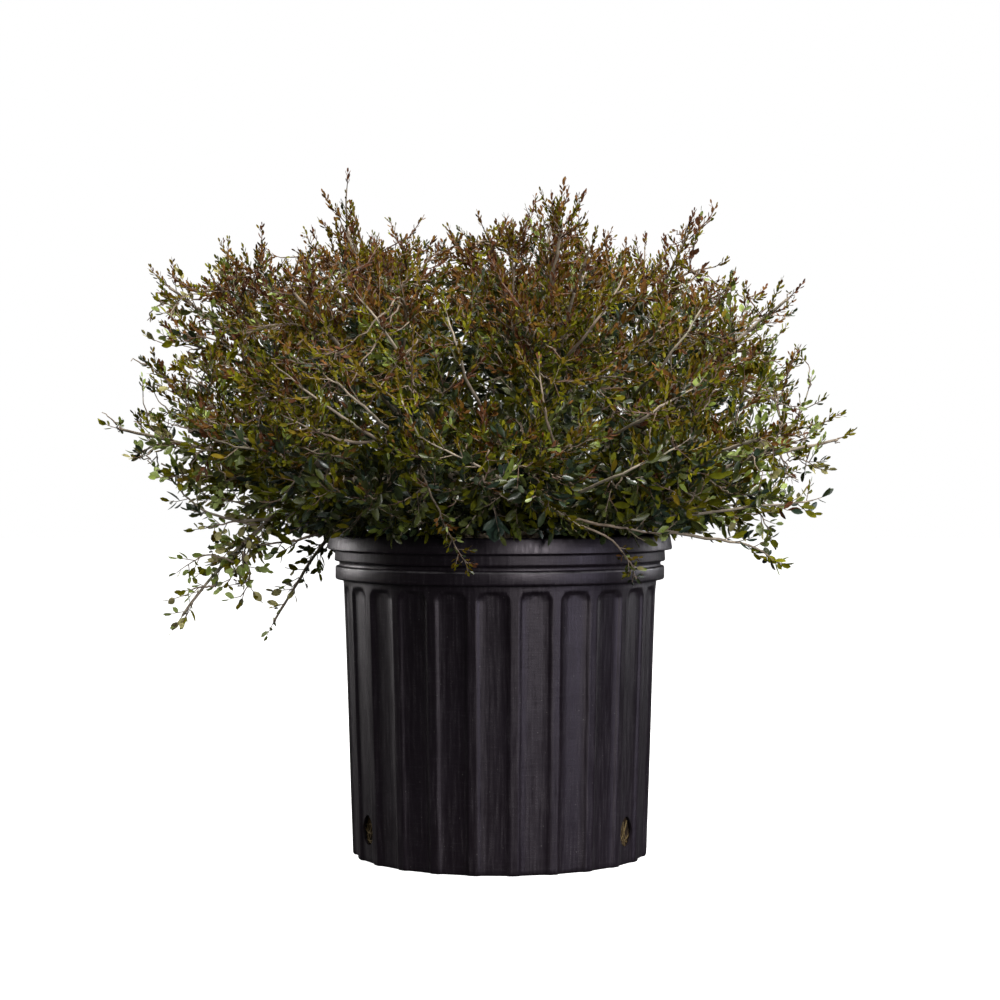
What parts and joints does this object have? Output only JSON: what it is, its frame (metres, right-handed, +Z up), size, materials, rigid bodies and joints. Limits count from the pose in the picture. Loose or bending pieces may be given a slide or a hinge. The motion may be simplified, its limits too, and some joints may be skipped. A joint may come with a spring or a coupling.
{
  "type": "potted holly shrub",
  "caption": "Low, wide, fine-leaved evergreen holly shrub in a round fluted black nursery pot, with arching shoots that hang over the rim.",
  "frame": {"origin": "centre of the pot's flat underside", "axes": "+Z up along the pot's axis, +X to the right as seen from the front, -Y towards the front"},
  "size_m": [0.6107, 0.5562, 0.5187],
  "materials": {
    "pot": "satin, black",
    "potting_mix": "rough, moist composted bark",
    "bark": "pale grey-brown bark",
    "foliage": "small leathery leaves, olive green with bronze tips"
  },
  "bodies": {
    "root": {"pot": "pot", "potting_mix": "potting_mix", "trunk": "bark", "bough_top": "bark", "foliage_top": "foliage", "bough_high_1": "bark", "foliage_high_1": "foliage", "bough_high_2": "bark", "foliage_high_2": "foliage", "bough_high_3": "bark", "foliage_high_3": "foliage", "bough_high_4": "bark", "foliage_high_4": "foliage", "bough_high_5": "bark", "foliage_high_5": "foliage", "bough_shoulder_1": "bark", "foliage_shoulder_1": "foliage", "bough_shoulder_2": "bark", "foliage_shoulder_2": "foliage", "bough_shoulder_3": "bark", "foliage_shoulder_3": "foliage", "bough_shoulder_4": "bark", "foliage_shoulder_4": "foliage", "bough_shoulder_5": "bark", "foliage_shoulder_5": "foliage", "bough_shoulder_6": "bark", "foliage_shoulder_6": "foliage", "bough_shoulder_7": "bark", "foliage_shoulder_7": "foliage", "bough_side_1": "bark", "foliage_side_1": "foliage", "bough_side_2": "bark", "foliage_side_2": "foliage", "bough_side_3": "bark", "foliage_side_3": "foliage", "bough_side_4": "bark", "foliage_side_4": "foliage", "bough_side_5": "bark", "foliage_side_5": "foliage", "bough_side_6": "bark", "foliage_side_6": "foliage", "bough_side_7": "bark", "foliage_side_7": "foliage", "bough_side_8": "bark", "foliage_side_8": "foliage", "bough_hanging_left": "bark", "foliage_hanging_left": "foliage", "bough_hanging_left_back": "bark", "foliage_hanging_left_back": "foliage", "bough_hanging_right": "bark", "foliage_hanging_right": "foliage", "bough_hanging_back": "bark", "foliage_hanging_back": "foliage"}
  },
  "joints": []
}
